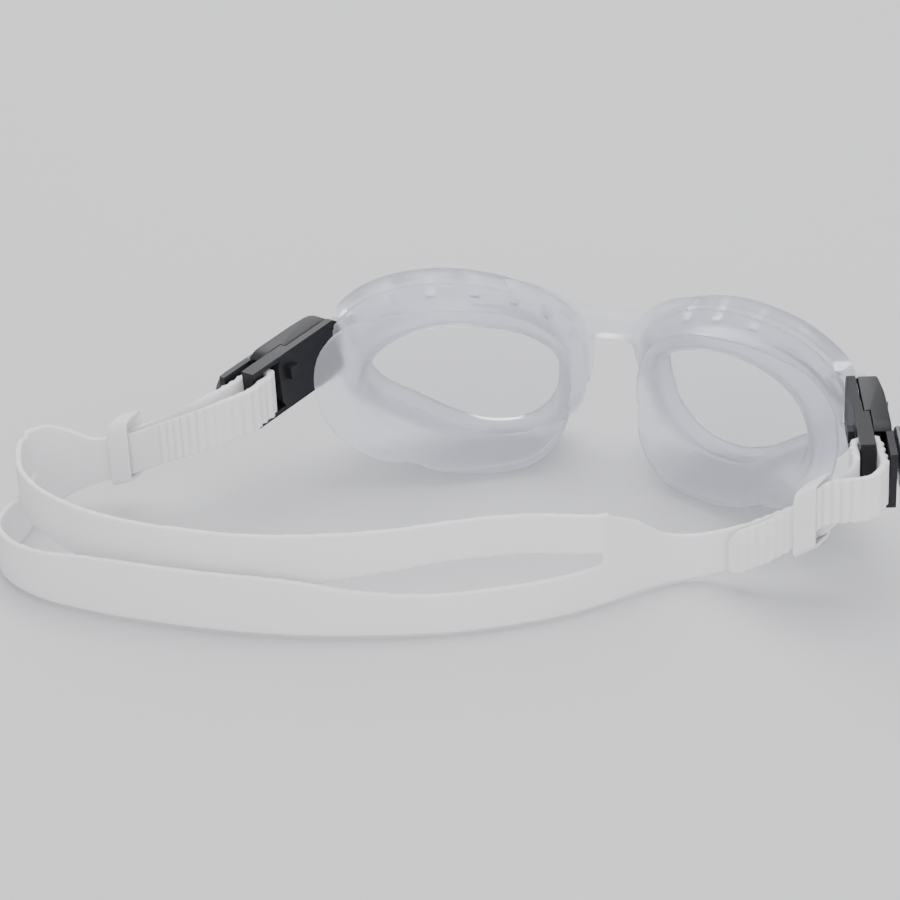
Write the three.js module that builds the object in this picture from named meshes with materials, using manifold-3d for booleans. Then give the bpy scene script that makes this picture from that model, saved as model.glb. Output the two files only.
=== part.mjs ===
// Swim goggles with a split silicone head strap, lying as they rest on a table.
// Millimetres, +Z up, +Y the way the wearer looks, +X the wearer's right. The origin is under the middle.
import * as THREE from "three";
import { mergeVertices } from "three/addons/utils/BufferGeometryUtils.js";
import Module from "manifold-3d";

const rad = THREE.MathUtils.degToRad;

// ---- driving dimensions ----
const FIT = 0.3; // gap left between pieces that touch
const PUPIL_X = 32.9; // middle of a lens from the middle of the nose
const CUP_Y = -6.1;
const CUP_Z = 28.4;
const WRAP = 20.9; // degrees that a lens turns round the face
const TILT = 18.5; // degrees that a lens leans back at its top

const LENS_LAP = 2.6; // lens edge beyond the eye opening
const LENS_THICK = 2.2;
const RIM_FRONT = 2.2; // rim in front of and behind the lens plane
const RIM_BACK = 4;
const SEAL_WALL = 1.2;

const BUCKLE_LONG = 41;
const BUCKLE_THICK = 8.8;
const NOSE_THICK = 7; // the cover thins to this at its front end
const NOSE_LONG = 14;
const RIDGES = [7, 11, 15]; // finger ridges on the outer face, from the front end
const RIDGE_LONG = 9;
const BUCKLE_FROM_CUP = [35.7, -18.7, 8.5]; // to the middle of the front edge of the inner face
const BUCKLE_SPLAY = 18.4; // degrees outwards
const BUCKLE_DROP = 5; // degrees down to the rear
const WALL = 1.7; // buckle mouldings
const RAIL_WALL = 1.4; // beside the strap window
const BAR_TO_END = 8; // from the front of the strap bar to the rear end of the buckle
const BAR_LONG = 4.5;
const BAR_THICK = 3.5;
const WINDOW_LONG = 5.5; // between the inner plate and the bar
const BAR_CLEAR = 1; // between the front of the bar and the strap that turns round it
const TOOTH_GAP = 0.25; // between the pawl's teeth and the strap
const PAWL_REACH = 3.1; // from the pin to the teeth. The pawl rocks on the pin when its front is pressed.
const PAWL_THICK = 2;
const PIN_R = 0.8;
const BUTTON_LONG = 20;
const BUTTON_HIGH = 11;
const BUTTON_PROUD = 1.8;
const BUTTON_TRAVEL = 0.8;
const STEM_LONG = 1.8; // along the buckle
const STEM_HIGH = 3.8;
const LUG_THICK = 2.2; // the rim's lug that the buckle holds
const LUG_LONG = 8;
const LUG_HIGH = 9;

const STRAP_WIDE = 12; // ribbed tails and waists
const STRAP_THICK = 1.6;
const STRAP_ROOM = 0.8; // above and below the strap in the buckle's window
const STRAP_SPARE = 0.7; // between the strap's ribs and the cover's arm
const RIB_PITCH = 2.8;
const RIB_PROUD = 0.6;
const PLAIN_LONG = 42; // without ribs, beside the junction of the two bands
const BRIDGE_HIGH = 4.8;
const BRIDGE_DEEP = 4.6;
const LAYER_STEP = 3.4; // between the strap and the tail that lies beside it
const KEEPER_LONG = 6;
const KEEPER_WALL = 1.2;
const KEEPER_LIFT = 2.8; // room for a tail that lies higher than the strap
const KEEPER_PLACE = { left: 0.21, right: 0.4 }; // share of the way from the junction to the tip

const wasm = await Module();
wasm.setup();

// ---- joining and cutting ----
function solid(geometry) {
  const bare = geometry.index ? geometry.toNonIndexed() : geometry.clone();
  bare.deleteAttribute("normal");
  bare.deleteAttribute("uv");
  const merged = mergeVertices(bare, 1e-4);
  return new wasm.Manifold(
    new wasm.Mesh({
      numProp: 3,
      vertProperties: merged.attributes.position.array,
      triVerts: new Uint32Array(merged.index.array),
    }),
  );
}

function geometryOf(body) {
  const mesh = body.getMesh();
  const geometry = new THREE.BufferGeometry();
  geometry.setAttribute("position", new THREE.BufferAttribute(mesh.vertProperties, 3));
  geometry.setIndex(new THREE.BufferAttribute(mesh.triVerts, 1));
  geometry.computeVertexNormals();
  return geometry;
}

const joined = (...parts) => geometryOf(parts.map(solid).reduce((a, b) => a.add(b)));
const cut = (body, ...tools) =>
  geometryOf(tools.map(solid).reduce((a, b) => a.subtract(b), solid(body)));

// A box from its two corners.
function block(x0, x1, y0, y1, z0, z1) {
  const geometry = new THREE.BoxGeometry(x1 - x0, y1 - y0, z1 - z0);
  return geometry.translate((x0 + x1) / 2, (y0 + y1) / 2, (z0 + z1) / 2);
}

// A plate with round corners: its face lies in the local length and height, its thickness runs along y.
function roundedPlate(x0, x1, y0, y1, z0, z1, radius, bevel = 0) {
  const [hx, hz] = [(x1 - x0) / 2 - bevel, (z1 - z0) / 2 - bevel];
  const r = Math.min(radius, hx * 0.98, hz * 0.98);
  const shape = new THREE.Shape();
  shape.moveTo(-hx + r, -hz);
  shape.lineTo(hx - r, -hz).absarc(hx - r, -hz + r, r, -Math.PI / 2, 0);
  shape.lineTo(hx, hz - r).absarc(hx - r, hz - r, r, 0, Math.PI / 2);
  shape.lineTo(-hx + r, hz).absarc(-hx + r, hz - r, r, Math.PI / 2, Math.PI);
  shape.lineTo(-hx, -hz + r).absarc(-hx + r, -hz + r, r, Math.PI, Math.PI * 1.5);
  const geometry = new THREE.ExtrudeGeometry(shape, {
    depth: y1 - y0 - 2 * bevel,
    bevelEnabled: bevel > 0,
    bevelSize: bevel,
    bevelThickness: bevel,
    bevelSegments: 2,
    curveSegments: 5,
  });
  geometry.translate(0, 0, bevel).rotateX(Math.PI / 2);
  return geometry.translate((x0 + x1) / 2, y1, (z0 + z1) / 2);
}

// ---- what follows from the driving dimensions ----
const BUCKLE_HIGH = STRAP_WIDE + 2 * (STRAP_ROOM + RAIL_WALL);
const TOP = BUCKLE_HIGH / 2;
const WINDOW = STRAP_WIDE / 2 + STRAP_ROOM; // half height of the strap window
const BAR_START = BUCKLE_LONG - BAR_TO_END;
const PLATE = WALL + 0.5;
const PLATE_END = BAR_START - WINDOW_LONG;
const LUG_IN = PLATE + 1.1; // the lug's inner face, from the buckle's inner face
const RAIL_OUT = BUCKLE_THICK - WALL - STRAP_SPARE - RIB_PROUD - STRAP_THICK - FIT; // outer face of the bar
const RAIL_IN = RAIL_OUT - BAR_THICK - 0.4;
const RAIL_START = PLATE_END - 6; // two rails carry the bar
const COVER_IN = PLATE + FIT; // where the cover starts, outside the inner plate
const COVER_END = BAR_START - 1;
const STEM_START = BUCKLE_LONG - BUTTON_LONG + 0.2;
const PAWL_OUT = BUCKLE_THICK - WALL - BUTTON_TRAVEL - 0.1; // outer face of the pawl
const PAWL_HALF = WINDOW - 1.4; // half height of the pawl
const PAWL_FRONT = STEM_START - 0.6;
const LEAN = (STRAP_WIDE / 2) * Math.tan(rad(BUCKLE_DROP)); // an upright strap in a tilted window
const PAWL_TIP = BAR_START - BAR_CLEAR - STRAP_THICK - 2 * LEAN - TOOTH_GAP;
const PAWL_PIVOT = PAWL_TIP - PAWL_REACH;
const BOSS_R = PIN_R + 0.8;

// ---- local frames ----
// Cup: x outwards along the lens, y the way the lens faces, z up the lens.
const cupFrame = new THREE.Matrix4()
  .makeTranslation(PUPIL_X, CUP_Y, CUP_Z)
  .multiply(new THREE.Matrix4().makeRotationZ(-rad(WRAP)))
  .multiply(new THREE.Matrix4().makeRotationX(rad(TILT)));
// Buckle: x to the rear along the buckle, y outwards through its thickness, z up.
const buckleFrame = new THREE.Matrix4()
  .makeTranslation(PUPIL_X + BUCKLE_FROM_CUP[0], CUP_Y + BUCKLE_FROM_CUP[1], CUP_Z + BUCKLE_FROM_CUP[2])
  .multiply(new THREE.Matrix4().makeRotationZ(-Math.PI / 2 + rad(BUCKLE_SPLAY)))
  .multiply(new THREE.Matrix4().makeRotationY(rad(BUCKLE_DROP)));
const inCup = (geometry, frame) =>
  geometry.applyMatrix4(cupFrame.clone().invert().multiply(frame));

// ---- the eye opening and rings that follow it ----
// A rounded drop: a point at the temple, a deep corner low by the nose.
const eyeOpening = new THREE.CatmullRomCurve3(
  [
    [34, 3], [30.5, 11], [22, 16], [11, 17.4], [0, 15.6], [-10, 11.4], [-16.6, 4.6],
    [-17.8, -5], [-16.6, -15], [-10.5, -22.4], [-0.5, -24], [10, -20.2], [20.5, -12.8], [30.5, -5.2],
  ].map(([x, z]) => new THREE.Vector3(x, 0, z)),
  true,
);
// The outer edge of the rim, point for point beside the opening.
const rimEdge = new THREE.CatmullRomCurve3(
  [
    [43.5, 4], [42.8, 17.5], [32.5, 27.6], [15.5, 31.2], [-1, 28], [-13.5, 21], [-22.6, 11],
    [-25.4, -4], [-23.2, -18], [-13.6, -26.8], [-0.5, -28.7], [13.5, -25.8], [27.5, -18.4], [39, -8.6],
  ].map(([x, z]) => new THREE.Vector3(x, 0, z)),
  true,
);
const STATIONS = 70;
const rim = Array.from({ length: STATIONS }, (_, i) => {
  const point = eyeOpening.getPoint(i / STATIONS);
  const along = eyeOpening.getTangent(i / STATIONS);
  const edge = rimEdge.getPoint(i / STATIONS);
  return { point, along, edge, out: new THREE.Vector3(along.z, 0, -along.x) };
});

// The point beside station i: "a" mm outwards in the lens plane and "d" mm behind it.
function beside(i, a, d) {
  const { point, out } = rim[i % STATIONS];
  return point.clone().addScaledVector(out, a).add(new THREE.Vector3(0, -d, 0));
}

// The point "a" mm outside the rim's outer edge and "d" mm behind the lens plane.
function besideRim(i, a, d) {
  const { edge, out } = rim[i % STATIONS];
  return edge.clone().addScaledVector(out, a).add(new THREE.Vector3(0, -d, 0));
}

// A closed ring whose section at station i is the loop of points that "section" gives.
function ring(section) {
  const loops = rim.map((_, i) => section(i));
  const points = loops[0].length;
  const geometry = new THREE.TorusGeometry(2, 1, points, STATIONS);
  const position = geometry.attributes.position;
  for (let j = 0; j <= points; j++) {
    for (let i = 0; i <= STATIONS; i++) {
      position.setXYZ(j * (STATIONS + 1) + i, ...loops[i % STATIONS][(points - j) % points]);
    }
  }
  return geometry;
}

// A flat plate inside the closed line that "edge" gives for each station.
function disc(edge, front, back) {
  const shape = new THREE.Shape(rim.map((_, i) => edge(i)).map((p) => new THREE.Vector2(p.x, p.z)));
  const geometry = new THREE.ExtrudeGeometry(shape, { depth: front + back, bevelEnabled: false });
  return geometry.rotateX(Math.PI / 2).translate(0, front, 0);
}

// ---- lens, rim and face seal ----
const LENS_FRONT = LENS_THICK - 0.4;
const lens = () => disc((i) => beside(i, LENS_LAP, 0), LENS_FRONT, LENS_THICK - LENS_FRONT);

function rimSection(i) {
  const inner = LENS_LAP + FIT;
  return [
    beside(i, inner, -RIM_FRONT), beside(i, inner, RIM_BACK), besideRim(i, -1, RIM_BACK),
    besideRim(i, 0, RIM_BACK - 1), besideRim(i, 0, 0.8 - RIM_FRONT), besideRim(i, -1.6, -RIM_FRONT),
  ];
}

// Windows through the rim where the soft seal grips it.
const ANCHORS = [5, 10, 14, 18, 22, 26, 30];
function anchorWindow(station) {
  const { point, edge, out } = rim[station];
  const window = block(-1.3, 1.3, -RIM_BACK - 1, RIM_FRONT + 1, -0.5, 0.5);
  const middle = point.clone().addScaledVector(out, LENS_LAP).lerp(edge, 0.55);
  return window.rotateY(Math.atan2(out.x, out.z)).translate(middle.x, 0, middle.z);
}

function frame() {
  const lug = roundedPlate(-3.6, LUG_LONG, LUG_IN, LUG_IN + LUG_THICK, -LUG_HIGH / 2, LUG_HIGH / 2, 1.5);
  const room = block(-1, 12, -3, BUCKLE_THICK + 2, -BUCKLE_HIGH / 2 - 1, BUCKLE_HIGH / 2 + 1);
  const rimBody = cut(ring(rimSection), ...ANCHORS.map(anchorWindow), inCup(room, buckleFrame));
  return joined(rimBody, inCup(lug, buckleFrame));
}

// The edge that lies on the face, on the wearer's right, point for point behind the opening.
const toCup = cupFrame.clone().invert();
const faceLip = new THREE.CatmullRomCurve3(
  [
    [38.7, -37.3, 2.6], [37.1, -36.7, 11.6], [31.1, -33.9, 18.6], [19.1, -27.4, 21.1], [4.1, -19.9, 20.6],
    [-9.9, -12.9, 17.6], [-20.4, -7.4, 9.6], [-24.3, -5.4, -3.4], [-21.4, -8.5, -15.4], [-14.5, -13.3, -22.6],
    [-0.9, -20.3, -24.1], [13.1, -27.3, -22.6], [26.1, -30.9, -20.4], [35.5, -35.5, -10.4],
  ].map(([x, y, z]) => new THREE.Vector3(PUPIL_X + x, CUP_Y + y, CUP_Z + z).applyMatrix4(toCup)),
  true,
);

function sealSection(i) {
  const { point, along, out } = rim[i];
  const back = RIM_BACK + FIT;
  const reach = faceLip.getPoint(i / STATIONS).sub(point);
  const [spread, depth, shift] = [reach.dot(out), -reach.y, reach.dot(along)];
  // The wall runs straight back first and then flares to the lip.
  const wall = (q) => [spread * q ** 2, back + 1 + (depth - back - 1) * (2 * q - q * q) * (1 - 0.12 * q) / 0.88];
  const at = (q, grow) => {
    const [a, d] = wall(q);
    const [a2, d2] = wall(q + 0.01);
    const long = Math.hypot(a2 - a, d2 - d);
    return beside(i, a + (grow * (d2 - d)) / long, d - (grow * (a2 - a)) / long).addScaledVector(along, shift * q);
  };
  const steps = [0.2, 0.4, 0.6, 0.8, 0.98];
  const inside = steps.map((q) => at(q, 0));
  const outside = steps.map((q) => at(q, SEAL_WALL)).reverse();
  return [
    beside(i, 0, LENS_THICK - LENS_FRONT + FIT), beside(i, 0, back + 1), ...inside, ...outside,
    beside(i, SEAL_WALL + 1, back + SEAL_WALL), besideRim(i, -0.4, back + SEAL_WALL), besideRim(i, 0.2, back),
    beside(i, LENS_LAP - 0.4, back), beside(i, LENS_LAP - 0.4, LENS_THICK - LENS_FRONT + FIT),
  ];
}

function faceSeal() {
  const room = block(-1, 12, 0, 14, -BUCKLE_HIGH / 2 - 1, BUCKLE_HIGH / 2 + 1);
  const beyond = block(-1, BUCKLE_LONG, -0.4, 14, -BUCKLE_HIGH / 2 - 1, BUCKLE_HIGH / 2 + 1);
  return cut(ring(sealSection), inCup(room, buckleFrame), inCup(beyond, buckleFrame));
}

// ---- nose bridge ----
// The bridge flows out of a soft web along the nose side of each rim.
const WEB_FIRST = 21; // stations
const WEB_LAST = 37;
const WEB_THICK = 2.1; // radius at its middle
function web(first, last) {
  const links = [];
  const bead = (i) => {
    const radius = 0.5 + (WEB_THICK - 0.5) * Math.sin((Math.PI * (i - first)) / (last - first));
    const ball = wasm.Manifold.sphere(radius, 16);
    const at = (d) => ball.translate(besideRim(i, FIT + 0.3 * radius, d).toArray());
    return wasm.Manifold.hull([at(0.6), at(RIM_BACK - 0.8)]);
  };
  for (let i = first; i < last; i++) links.push(wasm.Manifold.hull([bead(i), bead(i + 1)]));
  return wasm.Manifold.union(links);
}

function bridge() {
  const top = new THREE.Vector2(0, 40.6);
  const shape = new THREE.Shape();
  shape.moveTo(-15, top.y + 2.4);
  shape.quadraticCurveTo(-7, top.y, 0, top.y).quadraticCurveTo(7, top.y, 15, top.y + 2.4);
  shape.lineTo(15, 28);
  shape.quadraticCurveTo(9, 30, 7, 34).quadraticCurveTo(5, top.y - BRIDGE_HIGH, 0, top.y - BRIDGE_HIGH);
  shape.quadraticCurveTo(-5, top.y - BRIDGE_HIGH, -7, 34).quadraticCurveTo(-9, 30, -15, 28);
  const band = new THREE.ExtrudeGeometry(shape, {
    depth: BRIDGE_DEEP, bevelEnabled: true, bevelSize: 0.8, bevelThickness: 0.8, bevelSegments: 2, curveSegments: 8,
  });
  band.rotateX(Math.PI / 2).translate(0, 1.5, 0);
  const clear = () => disc((i) => besideRim(i, FIT, 0), 12, 24).applyMatrix4(cupFrame);
  const skirt = () => geometryOf(web(WEB_FIRST, WEB_LAST)).applyMatrix4(cupFrame);
  const mirror = (geometry) => {
    geometry.scale(-1, 1, 1);
    const flipped = geometry.index ? geometry.toNonIndexed() : geometry;
    const p = flipped.attributes.position;
    for (let i = 0; i < p.count; i += 3) {
      const a = new THREE.Vector3().fromBufferAttribute(p, i + 1);
      const b = new THREE.Vector3().fromBufferAttribute(p, i + 2);
      p.setXYZ(i + 1, ...b);
      p.setXYZ(i + 2, ...a);
    }
    return flipped;
  };
  return cut(joined(band, skirt(), mirror(skirt())), clear(), mirror(clear()));
}

// ---- buckle ----
function buckleBody() {
  const plate = roundedPlate(1.5, PLATE_END, 0, PLATE, -TOP, TOP, 4);
  const rail = (z0, z1) => block(RAIL_START, BAR_START + BAR_LONG, RAIL_IN, RAIL_OUT, z0, z1);
  const bar = block(BAR_START, BAR_START + BAR_LONG, RAIL_OUT - BAR_THICK, RAIL_OUT, -TOP, TOP);
  const snapTab = block(PLATE_END - 6, PLATE_END - 3, -1.6, 1, 0.5, 4);
  const body = joined(plate, rail(WINDOW, TOP), rail(-TOP, -WINDOW), bar, snapTab);
  return cut(body, upright(BOSS_R + FIT, 2 * PAWL_HALF + 2 * FIT), pinHole(BUCKLE_HIGH + 2));
}

// A post along the pawl's pivot.
function upright(radius, long) {
  const post = new THREE.CylinderGeometry(radius, radius, long, 16);
  return post.rotateX(Math.PI / 2).translate(PAWL_PIVOT, PAWL_OUT - PAWL_THICK / 2, 0);
}
const pinHole = (long) => upright(PIN_R + FIT, long);

function buckleCover() {
  const face = BUCKLE_THICK - WALL;
  const shell = roundedPlate(0, COVER_END, COVER_IN, BUCKLE_THICK, -TOP, TOP, 6, 0.8);
  const room = block(2, COVER_END + 1, COVER_IN - 1, face, -WINDOW, WINDOW);
  const mouthHigh = LUG_HIGH / 2 + FIT;
  const mouth = block(-1, LUG_LONG + FIT, LUG_IN - FIT, LUG_IN + LUG_THICK + FIT, -mouthHigh, mouthHigh);
  const railRoom = (z0, z1) => block(RAIL_START - FIT, COVER_END + 1, 0, RAIL_OUT + FIT, z0, z1);
  const slotHigh = STEM_HIGH / 2 + FIT;
  const stemEnd = STEM_START + STEM_LONG + FIT;
  const stemSlot = block(STEM_START - FIT, stemEnd, face - 1, BUCKLE_THICK + 1, -slotHigh, slotHigh);
  const shellCut = cut(
    shell, room, mouth, stemSlot, pinHole(BUCKLE_HIGH - 1),
    railRoom(WINDOW - FIT, TOP + 1), railRoom(-TOP - 1, -WINDOW + FIT),
  );
  const arm = block(COVER_END - 2, BUCKLE_LONG, face, BUCKLE_THICK, -TOP, TOP - 1);
  const foot = block(BUCKLE_LONG - 3, BUCKLE_LONG, face - 1.7, face + 1, -TOP, -TOP + 1.6);
  const slope = block(-1, NOSE_LONG, 0, BUCKLE_THICK, -TOP - 1, TOP + 1);
  slope.applyMatrix4(new THREE.Matrix4().makeRotationZ(Math.atan((BUCKLE_THICK - NOSE_THICK) / NOSE_LONG)));
  slope.translate(0, NOSE_THICK, 0);
  const ridge = (x) => {
    const face = THREE.MathUtils.lerp(NOSE_THICK, BUCKLE_THICK, Math.min(1, x / NOSE_LONG));
    const bump = new THREE.CylinderGeometry(1.1, 1.1, RIDGE_LONG, 12).scale(1, 1, 0.65);
    return bump.rotateX(Math.PI / 2).translate(x, face - 0.1, TOP - 2 - RIDGE_LONG / 2);
  };
  return joined(cut(shellCut, slope), arm, foot, ...RIDGES.map(ridge));
}

function strapPawl() {
  const inner = PAWL_OUT - PAWL_THICK;
  const arm = block(PAWL_FRONT, PAWL_TIP - 0.8, inner, PAWL_OUT, -PAWL_HALF, PAWL_HALF);
  const boss = upright(BOSS_R, 2 * PAWL_HALF);
  const tooth = (y) => block(PAWL_TIP - 1, PAWL_TIP, inner + y, inner + y + 0.4, -PAWL_HALF, PAWL_HALF);
  return cut(joined(arm, boss, ...[0, 0.8, 1.6].map(tooth)), pinHole(BUCKLE_HIGH));
}

const pawlPin = () => upright(PIN_R, 2 * WINDOW + 1.2);

function releaseButton() {
  const y = BUCKLE_THICK + BUTTON_TRAVEL + FIT;
  const start = BUCKLE_LONG - BUTTON_LONG;
  const cap = roundedPlate(start, BUCKLE_LONG, y, y + BUTTON_PROUD, -BUTTON_HIGH / 2, BUTTON_HIGH / 2, 5, 0.7);
  const stem = block(STEM_START, STEM_START + STEM_LONG, PAWL_OUT + FIT, y + 1, -STEM_HIGH / 2, STEM_HIGH / 2);
  return joined(cap, stem);
}

// ---- strap ----
// A route of [x, y, middle height, width] points. at(u) gives the place at share u of its length.
function route(points) {
  const middle = new THREE.CatmullRomCurve3(points.map(([x, y, z]) => new THREE.Vector3(x, y, z)));
  const width = new THREE.CatmullRomCurve3(points.map((p) => new THREE.Vector3(p[3], 0, 0)));
  middle.arcLengthDivisions = 900;
  const at = (u) => {
    const t = middle.getUtoTmapping(u);
    const tangent = middle.getTangent(t);
    const side = new THREE.Vector3(-tangent.y, tangent.x, 0).normalize();
    return { middle: middle.getPoint(t), side, tangent, width: width.getPoint(t).x };
  };
  return { at, length: middle.getLength() };
}

// A band that follows a route, upright on its edge, in "steps" steps.
// offsets(k) gives how far its right and its left face lie from the route's middle at step k.
function band({ at }, steps, offsets) {
  const geometry = new THREE.BoxGeometry(1, 1, 1, steps, 1, 1);
  const position = geometry.attributes.position;
  for (let i = 0; i < position.count; i++) {
    const k = Math.round((position.getX(i) + 0.5) * steps);
    const { middle, side, width } = at(k / steps);
    const z = position.getZ(i) * width;
    const offset = offsets(k)[position.getY(i) > 0 ? 1 : 0];
    position.setXYZ(i, ...middle.addScaledVector(side, offset).add(new THREE.Vector3(0, 0, z)));
  }
  return geometry;
}

// Through the buckle: in along the inner side of the bar, out through the window, back outside the bar
// and on behind the end of the cover's arm.
const half = STRAP_THICK / 2;
const W = STRAP_WIDE;
function fromBuckle(side, x, y) {
  const p = new THREE.Vector3(x, y, 0).applyMatrix4(buckleFrame);
  return [side * p.x, p.y, p.z, W];
}
function throughBuckle(side) {
  const inside = RAIL_OUT - BAR_THICK - 2 * FIT - half;
  const outside = RAIL_OUT + FIT + half;
  const front = BAR_START - LEAN - half - BAR_CLEAR;
  return [
    [BAR_START + 8, inside - 0.4], [BAR_START + 4, inside], [BAR_START + 0.5, inside],
    [front + 0.4, inside + 1.7], [front, inside + 3.6], [front + 0.6, outside - 0.5],
    [BAR_START + 0.8, outside], [BAR_START + 4, outside], [BUCKLE_LONG + 1.2, outside + 0.2],
  ].map(([x, y]) => fromBuckle(side, x, y));
}

// The routes below are laid out for buckles that end at LAID_END. The free stretch follows the buckle's
// end wherever it is, less and less towards the junction.
const LAID_END = [81.49, -63.56, 33.33];
function following(side, free) {
  const end = fromBuckle(1, BUCKLE_LONG, 0);
  const moved = [side * (end[0] - LAID_END[0]), end[1] - LAID_END[1], end[2] - LAID_END[2], 0];
  return free.map((p, i) => p.map((v, axis) => v + (moved[axis] * (i + 1)) / free.length));
}

// The tail lies back beside the strap: "aside" mm from it, and "lift" mm higher at the buckle.
function tail(points, aside, lift) {
  const laid = points.map(([x, y, z], i) => [x, y + aside, z + lift * (i / (points.length - 1)) ** 2, W]);
  const [x, y, z] = laid[0];
  const [x2, y2, z2] = laid[1];
  const tongue = [x + (x - x2) * 0.3, y + (y - y2) * 0.3, z + (z - z2) * 0.3, W - 3.5];
  return [...laid.reverse(), tongue];
}

const rightFree = following(1, [
  [51, -63, 10.4, W], [58.5, -62.8, 14.2, W], [66.4, -63, 19, W], [74, -64.6, 25, W],
]);
const rightRoute = route([
  [20.5, -82.8, 13, 25.4], [27.5, -74.6, 10.6, 20], [33, -68.8, 7.6, 14.4], [40, -64.6, 7, 12.4],
  ...rightFree, ...throughBuckle(1), fromBuckle(1, BUCKLE_LONG + 7.1, 1.9), ...tail(rightFree, -LAYER_STEP, 3.2),
]);
const leftFree = following(-1, [
  [-117, -67, 16.6, W], [-110, -67.6, 19.8, W], [-102, -69, 24, W], [-94, -70.8, 28.2, W], [-87, -70.4, 31.6, W],
]);
const leftRoute = route([
  [-140.6, -78, 13.4, 25.2], [-137.6, -72, 13.4, 24], [-132.6, -68.4, 13.6, 19], [-126, -66.8, 13.8, 13.2],
  ...leftFree, ...throughBuckle(-1), ...tail(leftFree.slice(0, -1), LAYER_STEP, 1.8),
]);
const lowerBand = route([
  [22, -81, 5.8, 10.8], [15, -88.4, 5.8, 11], [7, -95, 5.8, 11], [-2, -100.6, 5.8, 11], [-12, -106, 5.8, 11],
  [-24, -110.4, 6, 11.4], [-36, -114.2, 6.8, 13], [-50, -117.4, 8, 15.4], [-64, -119.4, 8.3, 16],
  [-78, -120.2, 8.3, 16], [-93, -120.2, 8.3, 16], [-106, -119.2, 8, 15.4], [-118.5, -117, 7.2, 13.8],
  [-130, -111.6, 6.8, 13], [-136.2, -105, 6.8, 13], [-138, -97.6, 7, 12.6], [-137.6, -90, 7.2, 12],
  [-138.4, -83, 7.2, 11.4], [-139.8, -76.6, 7.4, 11],
]);
const upperBand = route([
  [22, -81, 20, 10.8], [19.6, -83.2, 20.2, 10.8], [13, -85.9, 20.8, 11], [4, -89.6, 21.6, 11], [-5, -94.2, 22, 11],
  [-15, -98.8, 21.6, 11],
  [-26, -104, 20.6, 11.4], [-37, -108.6, 19.8, 12.6], [-50, -112, 18.2, 14.6], [-64, -114, 17.2, 15.4],
  [-84, -114.2, 16.8, 15.4], [-103, -111.8, 16.8, 14.8], [-116, -107.4, 17.4, 13.6], [-126.4, -101.6, 18.2, 12.6],
  [-133.4, -95, 18.8, 12.4], [-137.4, -88, 19.4, 12], [-139.8, -81.6, 19.6, 11.6], [-140, -76.6, 19.6, 11],
]);

// A ribbed end of the strap, from the junction through the buckle to the tip of the tail.
// "ribSide" is 1 when the ribs stand on its left, and -1 on its right.
function strapEnd(line, ribSide) {
  const steps = 4 * Math.round(line.length / RIB_PITCH);
  const plain = (4 * PLAIN_LONG) / RIB_PITCH;
  return band(line, steps, (k) => {
    const rib = k % 4 > 1 && k > plain && k < steps - 4 ? RIB_PROUD : 0;
    return ribSide > 0 ? [-half, half + rib] : [-half - rib, half];
  });
}

function headStrap() {
  const backBand = (line) => band(line, 90, () => [-half, half]);
  return joined(strapEnd(rightRoute, 1), strapEnd(leftRoute, -1), backBand(lowerBand), backBand(upperBand));
}

// ---- keeper: a soft loop round the strap and its tail ----
// Its middle stands on the strap at share u of the route. "side" is 1 when the tail lies to the left.
function keeper({ at }, u, side) {
  const { middle, side: left, tangent } = at(u);
  const along = tangent.clone().setZ(0).normalize();
  const slope = tangent.z / Math.hypot(tangent.x, tangent.y);
  const room = FIT + RIB_PROUD + half;
  const [near, far] = [-room, LAYER_STEP + room];
  const high = W / 2 + 2 * FIT;
  const wall = KEEPER_WALL;
  const outer = roundedPlate(near - wall, far + wall, 0, KEEPER_LONG, -high - wall, high + wall + KEEPER_LIFT, 2);
  const hole = block(near, far, -1, KEEPER_LONG + 1, -high, high + KEEPER_LIFT);
  const ringBody = cut(outer, hole).translate(0, -KEEPER_LONG / 2, 0);
  const upright = new THREE.Matrix4().makeBasis(
    left.clone().multiplyScalar(side),
    along.clone().multiplyScalar(-side).setZ(-slope * side),
    new THREE.Vector3(0, 0, 1),
  );
  return ringBody.applyMatrix4(upright.setPosition(middle));
}

function material(color, roughness, extra = {}) {
  return new THREE.MeshStandardMaterial({ color, roughness, metalness: 0, ...extra });
}
const clear = () => material(0xdfe3ee, 0.1, { transparent: true, opacity: 0.35 });
const frosted = () => material(0xc4cad8, 0.5, { transparent: true, opacity: 0.7 });
const black = () => material(0x1b1b20, 0.45);
const smoke = () => material(0x6a6d76, 0.3);
const silicone = () => material(0xd0cfd2, 0.55);

function mesh(name, geometry, finish) {
  const piece = new THREE.Mesh(geometry, finish);
  piece.name = name;
  return piece;
}

const group = new THREE.Group();
for (const [side, label] of [[-1, "left"], [1, "right"]]) {
  const halfGroup = new THREE.Group();
  halfGroup.scale.x = side;
  const cup = new THREE.Group();
  cup.applyMatrix4(cupFrame);
  cup.add(mesh(`lens_${label}`, lens(), clear()));
  cup.add(mesh(`frame_${label}`, frame(), clear()));
  cup.add(mesh(`face_seal_${label}`, faceSeal(), frosted()));
  const buckle = new THREE.Group();
  buckle.applyMatrix4(buckleFrame);
  buckle.add(mesh(`buckle_body_${label}`, buckleBody(), black()));
  buckle.add(mesh(`buckle_cover_${label}`, buckleCover(), black()));
  buckle.add(mesh(`strap_pawl_${label}`, strapPawl(), black()));
  buckle.add(mesh(`pawl_pin_${label}`, pawlPin(), black()));
  buckle.add(mesh(`release_button_${label}`, releaseButton(), smoke()));
  halfGroup.add(cup, buckle);
  group.add(halfGroup);
}
group.add(mesh("nose_bridge", bridge(), frosted()));
group.add(mesh("head_strap", headStrap(), silicone()));
group.add(mesh("strap_keeper_left", keeper(leftRoute, KEEPER_PLACE.left, 1), silicone()));
group.add(mesh("strap_keeper_right", keeper(rightRoute, KEEPER_PLACE.right, -1), silicone()));

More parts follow.
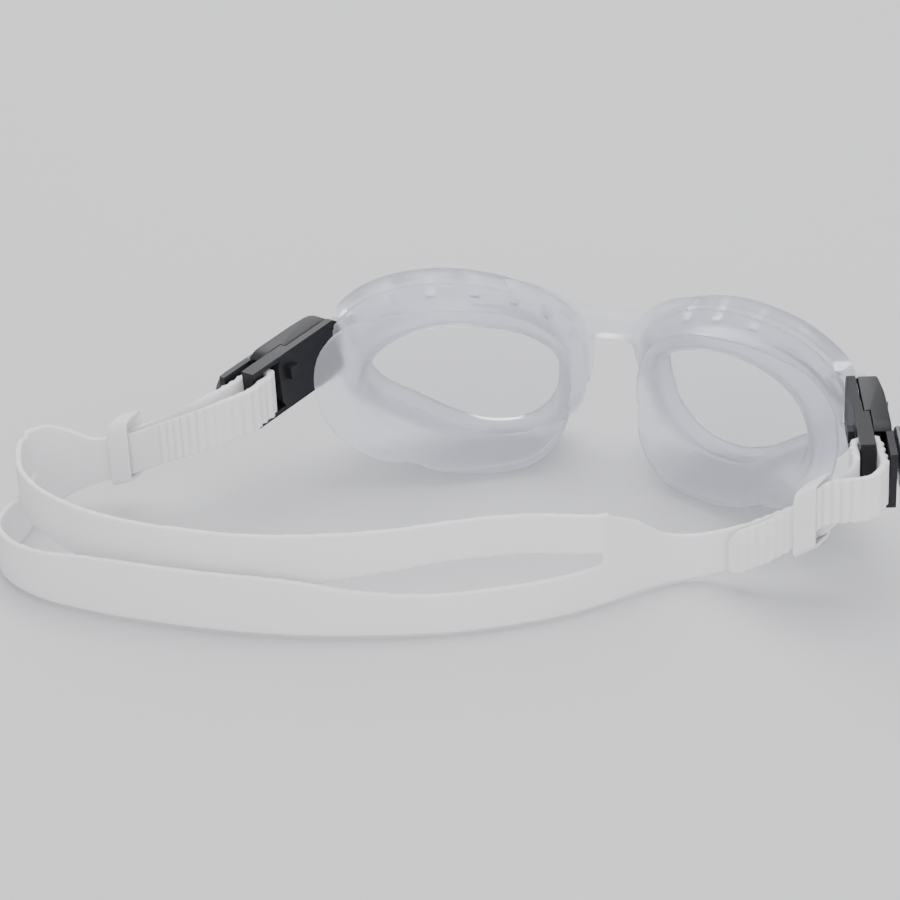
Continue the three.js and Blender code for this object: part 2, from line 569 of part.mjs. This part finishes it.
// The whole stands with the middle of its base at the origin.
const bounds = new THREE.Box3().setFromObject(group, true);
const middle = bounds.getCenter(new THREE.Vector3());
group.position.set(-middle.x, -middle.y, -bounds.min.z);
const goggles = new THREE.Group();
goggles.add(group);

export default goggles;
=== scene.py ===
# %% [markdown]
# # Swim goggles with a split strap
# Clear lenses sit in clear rims, soft seals lie on the face, and one silicone strap splits into two
# bands behind the head. The CAD frame gives every place and size, and Blender gives the looks.

# %% Load the frame
import math

import bpy
from mathutils import Matrix, Vector


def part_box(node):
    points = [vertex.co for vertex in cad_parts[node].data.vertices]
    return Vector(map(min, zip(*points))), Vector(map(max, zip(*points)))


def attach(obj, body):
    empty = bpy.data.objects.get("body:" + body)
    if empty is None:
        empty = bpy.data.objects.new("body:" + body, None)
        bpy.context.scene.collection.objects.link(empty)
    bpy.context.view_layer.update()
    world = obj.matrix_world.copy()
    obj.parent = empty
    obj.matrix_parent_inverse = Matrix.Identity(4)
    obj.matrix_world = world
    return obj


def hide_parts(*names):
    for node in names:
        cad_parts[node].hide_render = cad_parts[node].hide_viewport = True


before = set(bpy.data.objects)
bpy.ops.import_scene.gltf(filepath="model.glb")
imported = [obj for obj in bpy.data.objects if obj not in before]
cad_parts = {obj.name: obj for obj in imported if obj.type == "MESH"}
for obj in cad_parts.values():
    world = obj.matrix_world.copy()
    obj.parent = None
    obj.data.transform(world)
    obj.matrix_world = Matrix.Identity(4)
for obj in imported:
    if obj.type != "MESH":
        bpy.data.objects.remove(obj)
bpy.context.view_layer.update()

SIDES = ("left", "right")
MM = 0.001


# %% [markdown]
# ## Camera
# The goggles are looked at from the wearer's side, a little from the right and from above. A long lens
# keeps the two cups nearly the same size. The place is counted from the middle of the two lenses.

# %% Camera
lens_low, lens_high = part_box("lens_left")[0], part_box("lens_right")[1]
lens_middle = (lens_low + lens_high) / 2
AIM_FROM_LENSES = Vector((-43.25, -8.89, -23.32)) * MM
aim = lens_middle + AIM_FROM_LENSES
VIEW_AZIMUTH, VIEW_HEIGHT, VIEW_ROLL = 20.41, 27.156, -2.757
VIEW_DISTANCE = 820.9 * MM
VIEW_LENS = 118.8


def look_from(azimuth, height, distance, roll):
    azimuth, height, roll = (math.radians(v) for v in (azimuth, height, roll))
    level = Vector((math.sin(azimuth), -math.cos(azimuth), 0))
    back = level * math.cos(height) + Vector((0, 0, math.sin(height)))
    right = Vector((0, 0, 1)).cross(back).normalized()
    up = back.cross(right)
    right, up = right * math.cos(roll) + up * math.sin(roll), up * math.cos(roll) - right * math.sin(roll)
    turned = Matrix((right, up, back)).transposed().to_4x4()
    turned.translation = aim + back * distance
    return turned


camera_data = bpy.data.cameras.new("camera")
camera_data.lens = VIEW_LENS
camera = bpy.data.objects.new("camera", camera_data)
bpy.context.collection.objects.link(camera)
camera.matrix_world = look_from(VIEW_AZIMUTH, VIEW_HEIGHT, VIEW_DISTANCE, VIEW_ROLL)
bpy.context.scene.camera = camera
print("camera at", [round(v, 3) for v in camera.location])

# %% [markdown]
# ## Selecting and shading helpers
# An operator acts on all that is selected, so each step first selects one object alone.

# %% Selecting one object
def only(piece):
    bpy.ops.object.select_all(action="DESELECT")
    piece.select_set(True)
    bpy.context.view_layer.objects.active = piece


def apply_modifier(piece, kind, **settings):
    only(piece)
    modifier = piece.modifiers.new(kind.lower(), kind)
    for key, value in settings.items():
        setattr(modifier, key, value)
    bpy.ops.object.modifier_apply(modifier=modifier.name)


def smooth(piece, degrees):
    only(piece)
    bpy.ops.object.shade_smooth_by_angle(angle=math.radians(degrees))


# %% [markdown]
# ## Shared surface detail
# Every moulded surface is a little uneven. One node group gives fine grain, and it is used with
# other values in each material: coarse and deep on soft silicone, fine and shallow on hard plastic.

# %% Node group: moulded grain
BUMP_HEIGHT = 0.2 * MM
BROAD_SCALE = 60  # of the slow change in roughness


def moulded_grain():
    group = bpy.data.node_groups.new("moulded_grain", "ShaderNodeTree")
    face = group.interface
    for name, default in (("Scale", 900.0), ("Depth", 0.1), ("Roughness", 0.4), ("Spread", 0.1)):
        face.new_socket(name, in_out="INPUT", socket_type="NodeSocketFloat").default_value = default
    face.new_socket("Roughness", in_out="OUTPUT", socket_type="NodeSocketFloat")
    face.new_socket("Normal", in_out="OUTPUT", socket_type="NodeSocketVector")
    nodes, link = group.nodes, group.links.new
    given, result = nodes.new("NodeGroupInput"), nodes.new("NodeGroupOutput")
    place = nodes.new("ShaderNodeTexCoord")
    fine = nodes.new("ShaderNodeTexNoise")
    fine.inputs["Detail"].default_value = 3
    link(place.outputs["Object"], fine.inputs["Vector"])
    link(given.outputs["Scale"], fine.inputs["Scale"])
    bump = nodes.new("ShaderNodeBump")
    bump.inputs["Distance"].default_value = BUMP_HEIGHT
    link(given.outputs["Depth"], bump.inputs["Strength"])
    link(fine.outputs["Fac"], bump.inputs["Height"])
    link(bump.outputs["Normal"], result.inputs["Normal"])
    broad = nodes.new("ShaderNodeTexNoise")
    broad.inputs["Scale"].default_value = BROAD_SCALE
    broad.inputs["Detail"].default_value = 4
    link(place.outputs["Object"], broad.inputs["Vector"])
    centred = nodes.new("ShaderNodeMath")
    centred.operation = "SUBTRACT"
    centred.inputs[1].default_value = 0.5
    link(broad.outputs["Fac"], centred.inputs[0])
    spread = nodes.new("ShaderNodeMath")
    spread.operation = "MULTIPLY_ADD"
    link(centred.outputs[0], spread.inputs[0])
    link(given.outputs["Spread"], spread.inputs[1])
    link(given.outputs["Roughness"], spread.inputs[2])
    link(spread.outputs[0], result.inputs["Roughness"])
    return group


grain_group = moulded_grain()
print("node group:", grain_group.name)


# %% Node group: colour drift
MIX_FIRST, MIX_SECOND, MIX_RESULT = 6, 7, 2  # the colour sockets of a mix node


def colour_drift():
    group = bpy.data.node_groups.new("colour_drift", "ShaderNodeTree")
    face = group.interface
    face.new_socket("Scale", in_out="INPUT", socket_type="NodeSocketFloat").default_value = 40
    for name in ("Light", "Dark"):
        face.new_socket(name, in_out="INPUT", socket_type="NodeSocketColor")
    face.new_socket("Color", in_out="OUTPUT", socket_type="NodeSocketColor")
    nodes, link = group.nodes, group.links.new
    given, result = nodes.new("NodeGroupInput"), nodes.new("NodeGroupOutput")
    place = nodes.new("ShaderNodeTexCoord")
    cloud = nodes.new("ShaderNodeTexNoise")
    cloud.inputs["Detail"].default_value = 5
    link(place.outputs["Object"], cloud.inputs["Vector"])
    link(given.outputs["Scale"], cloud.inputs["Scale"])
    mix = nodes.new("ShaderNodeMix")
    mix.data_type = "RGBA"
    link(cloud.outputs["Fac"], mix.inputs["Factor"])
    link(given.outputs["Dark"], mix.inputs[MIX_FIRST])
    link(given.outputs["Light"], mix.inputs[MIX_SECOND])
    link(mix.outputs[MIX_RESULT], result.inputs["Color"])
    return group


drift_group = colour_drift()
print("node group:", drift_group.name)


# %% Material maker
def finish(name, light, dark, roughness, grain, drift=40, **shader_values):
    """A Principled material with drifting colour and moulded grain. grain is (scale, depth, spread)."""
    material = bpy.data.materials.new(name)
    material.use_nodes = True
    nodes, link = material.node_tree.nodes, material.node_tree.links.new
    shader = nodes["Principled BSDF"]
    colour = nodes.new("ShaderNodeGroup")
    colour.node_tree = drift_group
    colour.inputs["Scale"].default_value = drift
    colour.inputs["Light"].default_value = (*light, 1)
    colour.inputs["Dark"].default_value = (*dark, 1)
    link(colour.outputs["Color"], shader.inputs["Base Color"])
    surface = nodes.new("ShaderNodeGroup")
    surface.node_tree = grain_group
    surface.inputs["Scale"].default_value, surface.inputs["Depth"].default_value = grain[:2]
    surface.inputs["Roughness"].default_value = roughness
    surface.inputs["Spread"].default_value = grain[2]
    link(surface.outputs["Roughness"], shader.inputs["Roughness"])
    link(surface.outputs["Normal"], shader.inputs["Normal"])
    for key, value in shader_values.items():
        shader.inputs[key.replace("_", " ")].default_value = value
    return material


# %% [markdown]
# ## Finishes
# Lens and rim are clear polycarbonate. The seals and the bridge are frosted silicone, which lets light
# through but scatters it. The strap is the same silicone, thicker and milkier. The buckles are black
# plastic with a fine grain, and the release buttons are smoke grey and let some light in.

# %% Finishes
clear_lens = finish(
    "clear_lens", (0.97, 0.975, 0.985), (0.95, 0.955, 0.97), 0.03, (300, 0.01, 0.03),
    Transmission_Weight=1.0, IOR=1.45,
)
clear_rim = finish(
    "clear_rim", (0.945, 0.95, 0.99), (0.905, 0.912, 0.98), 0.34, (500, 0.05, 0.1),
    Transmission_Weight=0.88, IOR=1.18,
)
frosted_silicone = finish(
    "frosted_silicone", (0.95, 0.954, 0.99), (0.915, 0.922, 0.985), 0.36, (1500, 0.08, 0.12),
    Transmission_Weight=0.84, IOR=1.14,
)
strap_silicone = finish(
    "strap_silicone", (0.97, 0.965, 0.975), (0.94, 0.935, 0.945), 0.5, (1200, 0.08, 0.12), drift=25,
    Transmission_Weight=0.22, IOR=1.36,
)
black_plastic = finish(
    "black_plastic", (0.012, 0.012, 0.015), (0.008, 0.008, 0.01), 0.42, (2600, 0.16, 0.16), drift=120,
    Specular_IOR_Level=0.3,
)
smoke_plastic = finish(
    "smoke_plastic", (0.2, 0.21, 0.24), (0.13, 0.14, 0.16), 0.25, (1800, 0.06, 0.1), drift=90,
    Transmission_Weight=0.6, IOR=1.45,
)
print("finishes:", [m.name for m in bpy.data.materials if m.use_nodes])


# %% [markdown]
# ## Tidy copies of the hard pieces
# The CAD meshes are loose triangles with knife-sharp edges. A real moulding has small radii that catch
# the light. Each hard piece is copied, its vertices merged, its flat faces made whole again, and its
# sharp edges bevelled. The bevel hardens its normals, so a flat lens stays optically flat and only its
# edge shades round. The copy then stands for the CAD node.

# %% Tidy copy and bevel
MERGE_WITHIN = 0.002 * MM
FLAT_WITHIN = math.radians(0.4)


def tidy_copy(node, name):
    piece = bpy.data.objects.new(name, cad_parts[node].data.copy())
    bpy.context.collection.objects.link(piece)
    only(piece)
    if piece.data.has_custom_normals:
        bpy.ops.mesh.customdata_custom_splitnormals_clear()
    bpy.ops.object.mode_set(mode="EDIT")
    bpy.ops.mesh.select_all(action="SELECT")
    bpy.ops.mesh.remove_doubles(threshold=MERGE_WITHIN)
    bpy.ops.object.mode_set(mode="OBJECT")
    return piece


def stand_for(piece, nodes, body, material):
    piece.data.materials.clear()
    piece.data.materials.append(material)
    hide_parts(*nodes)
    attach(piece, body)


def hard_piece(node, name, body, material, radius, segments=2, turn=28):
    piece = tidy_copy(node, name)
    bpy.ops.object.mode_set(mode="EDIT")
    bpy.ops.mesh.select_all(action="SELECT")
    bpy.ops.mesh.dissolve_limited(angle_limit=FLAT_WITHIN)
    bpy.ops.object.mode_set(mode="OBJECT")
    smooth(piece, turn)
    apply_modifier(
        piece, "BEVEL", width=radius * MM, segments=segments,
        limit_method="ANGLE", angle_limit=math.radians(turn), harden_normals=True,
    )
    stand_for(piece, [node], body, material)
    print(name, len(piece.data.polygons), "faces")
    return piece


# %% Lenses and rims
for side in SIDES:
    hard_piece(f"lens_{side}", f"clear_lens_{side}", "goggles", clear_lens, 0.25)
    hard_piece(f"frame_{side}", f"clear_rim_{side}", "goggles", clear_rim, 0.25)

# %% Buckles, pawls, pins and buttons
black_pieces = (  # node, name of the visible piece, bevel in mm
    ("buckle_body", "buckle_plate", 0.35),
    ("buckle_cover", "buckle_shell", 0.35),
    ("pawl_pin", "pivot_pin", 0.1),
    ("strap_pawl", "toothed_pawl", 0.15),
)
for side in SIDES:
    for node, name, radius in black_pieces:
        body = f"strap_pawl_{side}" if node == "strap_pawl" else "goggles"
        hard_piece(f"{node}_{side}", f"{name}_{side}", body, black_plastic, radius)
    button = f"release_button_{side}"
    hard_piece(button, f"smoke_button_{side}", button, smoke_plastic, 0.3)


# %% [markdown]
# ## Soft mouldings
# Silicone comes out of its mould with round edges everywhere and no seam where one wall runs into
# another. A voxel remesh skins the plain solids over as one body, and smoothing rounds what is left.
# Collapsing the flattest triangles then keeps the shape with fewer of them.

# %% Soft moulding from plain solids
def soft_piece(nodes, name, body, material, voxel, rounds, share=1):
    """One skin over the nodes. voxel is in mm, and share is how many of its triangles are kept."""
    copies = [tidy_copy(node, f"{name}_{i}") for i, node in enumerate(nodes)]
    only(copies[0])
    for piece in copies:
        piece.select_set(True)
    if len(copies) > 1:
        bpy.ops.object.join()
    piece = copies[0]
    piece.name = name
    apply_modifier(piece, "REMESH", mode="VOXEL", voxel_size=voxel * MM)
    apply_modifier(piece, "SMOOTH", factor=0.5, iterations=rounds)
    if share < 1:
        apply_modifier(piece, "DECIMATE", ratio=share)
    smooth(piece, 60)
    stand_for(piece, nodes, body, material)
    print(name, len(piece.data.polygons), "faces")
    return piece


# %% [markdown]
# ## Seals and bridge, one soft moulding
# The frosted seals and the bridge between them flow into each other. The remesh melts the three solids
# into one skin, because a seam between them would never be seen on a real moulding.

# %% Seals and bridge
soft_piece(
    ["nose_bridge", "face_seal_left", "face_seal_right"], "soft_seals_and_bridge", "goggles",
    frosted_silicone, 0.45, 5, share=0.55,
)

# %% [markdown]
# ## Strap and keepers
# The strap is one moulding with two bands and two ribbed ends. A finer voxel keeps the ribs.

# %% Strap and keepers
soft_piece(["head_strap"], "split_strap", "goggles", strap_silicone, 0.42, 2, share=0.65)
for side in SIDES:
    soft_piece(
        [f"strap_keeper_{side}"], f"keeper_loop_{side}", f"strap_keeper_{side}", strap_silicone,
        0.3, 4,
    )

# %% [markdown]
# ## Floor and light
# A plain pale table, a broad light above, and an even pale sky, as in a small light tent.

# %% Floor
FLOOR_SIZE = 12
FLOOR_COLOUR = (0.6, 0.6, 0.61, 1)
bpy.ops.mesh.primitive_plane_add(size=FLOOR_SIZE, location=(0, 0, 0))
floor = bpy.context.object
floor.name = "floor"
floor_paint = bpy.data.materials.new("floor_paint")
floor_paint.use_nodes = True
floor_shader = floor_paint.node_tree.nodes["Principled BSDF"]
floor_shader.inputs["Base Color"].default_value = FLOOR_COLOUR
floor_shader.inputs["Roughness"].default_value = 0.75
floor.data.materials.append(floor_paint)


# %% Lights
def soft_light(name, place, size, watts):
    data = bpy.data.lights.new(name, "AREA")
    data.shape = "SQUARE"
    data.size = size
    data.energy = watts
    light = bpy.data.objects.new(name, data)
    bpy.context.collection.objects.link(light)
    light.location = place
    light.rotation_euler = (-Vector(place)).to_track_quat("-Z", "Y").to_euler()


soft_light("top_light", (0.1, 0.25, 1.1), 1.0, 11)
soft_light("rear_light", (-0.5, 0.9, 0.7), 0.7, 5)
soft_light("front_light", (0.35, -1.0, 0.45), 1.0, 9)
world = bpy.data.worlds.new("pale_sky")
world.use_nodes = True
sky = world.node_tree.nodes["Background"]
sky.inputs["Color"].default_value = (0.95, 0.96, 1, 1)
sky.inputs["Strength"].default_value = 0.85
bpy.context.scene.world = world
